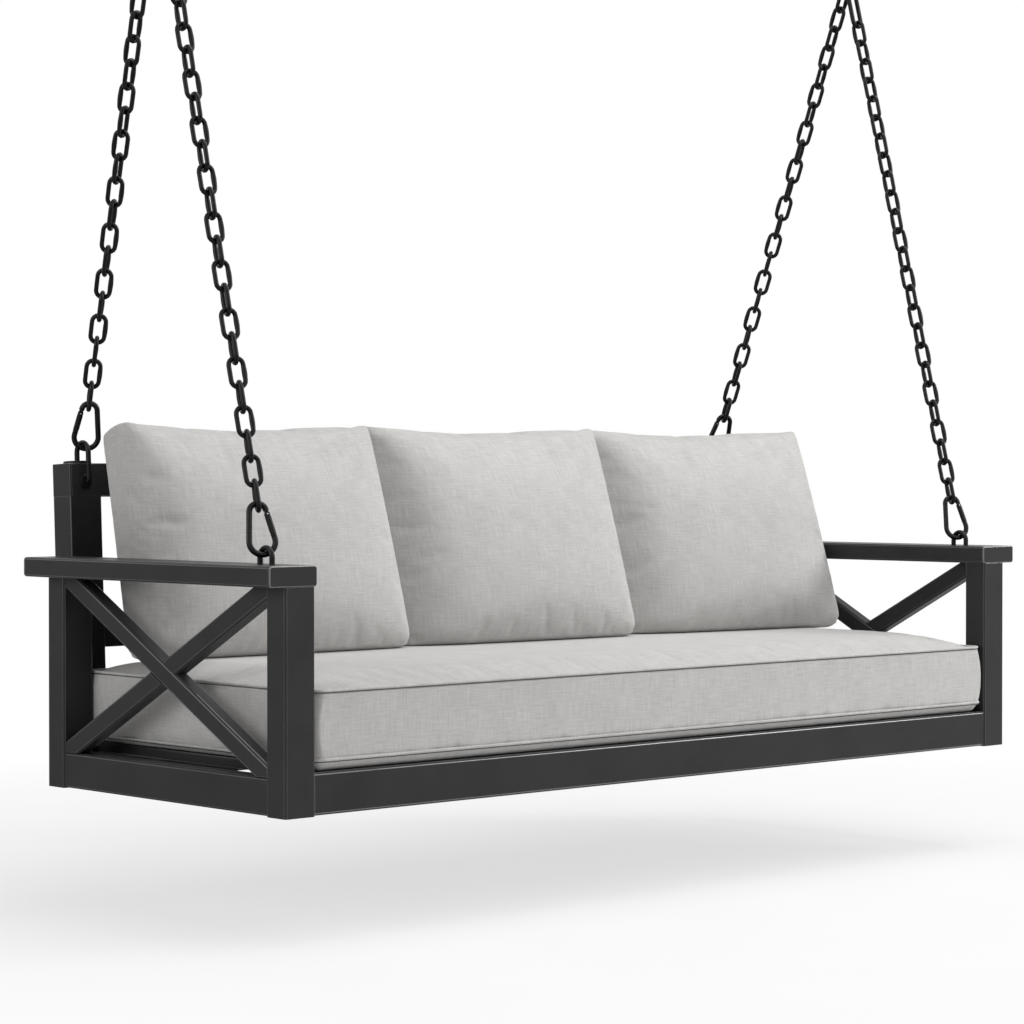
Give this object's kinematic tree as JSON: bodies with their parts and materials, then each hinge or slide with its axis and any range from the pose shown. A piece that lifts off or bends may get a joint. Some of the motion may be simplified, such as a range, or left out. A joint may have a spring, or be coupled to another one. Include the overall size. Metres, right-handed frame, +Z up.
{
  "type": "garden swing",
  "caption": "Hanging garden swing: black tube frame with braced sides and flat arms, boxed seat cushion and loose back cushions, on chains with snap hooks from ceiling hangers.",
  "frame": {"origin": "on the ceiling, midway between the two ceiling plates and straight above the pivot line", "axes": "+X along the seat to the sitter's left, +Y from the front of the seat to its back, +Z up"},
  "size_m": [2.016, 0.7981, 1.785],
  "materials": {
    "frame_black": "matte",
    "fitting_black": "satin",
    "chain_black": "satin",
    "snap_black": "satin",
    "plain_steel": "satin",
    "plug_plastic": "matte",
    "bush_plastic": "matte",
    "cushion_fabric": "matte"
  },
  "bodies": {
    "ceiling_hangers": {"ceiling_plates": "fitting_black", "pivot_bolts": "plain_steel", "pivot_nuts": "plain_steel"},
    "swing": {"arm_caps": "frame_black", "arm_left": "frame_black", "arm_right": "frame_black", "back_cushion_left": "cushion_fabric", "back_cushion_middle": "cushion_fabric", "back_cushion_right": "cushion_fabric", "back_lower_rail": "frame_black", "back_slats": "frame_black", "back_spacers": "frame_black", "back_top_rail": "frame_black", "brace_halves_left": "frame_black", "brace_halves_right": "frame_black", "brace_long_left": "frame_black", "brace_long_right": "frame_black", "chain_front_left": "chain_black", "chain_front_right": "chain_black", "chain_rear_left": "chain_black", "chain_rear_right": "chain_black", "eye_nuts": "plain_steel", "eye_plates": "plain_steel", "front_eye_left": "fitting_black", "front_eye_right": "fitting_black", "front_post_left": "frame_black", "front_post_right": "frame_black", "front_rail": "frame_black", "gate_pins": "snap_black", "gathering_rings": "chain_black", "hanger_eyes": "fitting_black", "levelling_links": "chain_black", "loop_flanges": "fitting_black", "loop_nuts": "plain_steel", "loop_washers": "fitting_black", "pivot_bushes": "bush_plastic", "post_plugs": "plug_plastic", "rear_loop_left": "fitting_black", "rear_loop_right": "fitting_black", "rear_post_left": "frame_black", "rear_post_right": "frame_black", "rear_rail": "frame_black", "seat_cushion": "cushion_fabric", "seat_ledges": "frame_black", "seat_slats": "frame_black", "side_rail_left": "frame_black", "side_rail_right": "frame_black", "snap_front_left": "snap_black", "snap_front_right": "snap_black", "snap_rear_left": "snap_black", "snap_rear_right": "snap_black", "top_rail_caps": "frame_black", "upright_left": "frame_black", "upright_plugs": "plug_plastic", "upright_right": "frame_black"},
    "gate_front_left_body": {"gate_front_left": "snap_black"},
    "gate_front_right_body": {"gate_front_right": "snap_black"},
    "gate_rear_left_body": {"gate_rear_left": "snap_black"},
    "gate_rear_right_body": {"gate_rear_right": "snap_black"}
  },
  "joints": [
    {"name": "swing_pivot", "type": "hinge", "parent": "ceiling_hangers", "child": "swing", "pos_m": [0, 0, -0.036], "axis": [1, 0, 0], "range_deg": [-25, 25]},
    {"name": "gate_hinge_front_left", "type": "hinge", "parent": "swing", "child": "gate_front_left_body", "pos_m": [-0.93134, -0.30328, -1.27476], "axis": [0.5, 0.8395, -0.2125], "range_deg": [0, 18], "stiffness_Nm_per_rad": 0.06, "springref_deg": -34.38},
    {"name": "gate_hinge_front_right", "type": "hinge", "parent": "swing", "child": "gate_front_right_body", "pos_m": [0.95466, -0.30328, -1.27476], "axis": [0.5, 0.8395, -0.2125], "range_deg": [0, 18], "stiffness_Nm_per_rad": 0.06, "springref_deg": -34.38},
    {"name": "gate_hinge_rear_left", "type": "hinge", "parent": "swing", "child": "gate_rear_left_body", "pos_m": [-0.88548, 0.32454, -1.09152], "axis": [-0.4989, -0.8143, -0.2967], "range_deg": [0, 18], "stiffness_Nm_per_rad": 0.06, "springref_deg": -34.38},
    {"name": "gate_hinge_rear_right", "type": "hinge", "parent": "swing", "child": "gate_rear_right_body", "pos_m": [0.8622, 0.32407, -1.09005], "axis": [-0.4989, -0.8346, -0.2334], "range_deg": [0, 18], "stiffness_Nm_per_rad": 0.06, "springref_deg": -34.38}
  ]
}
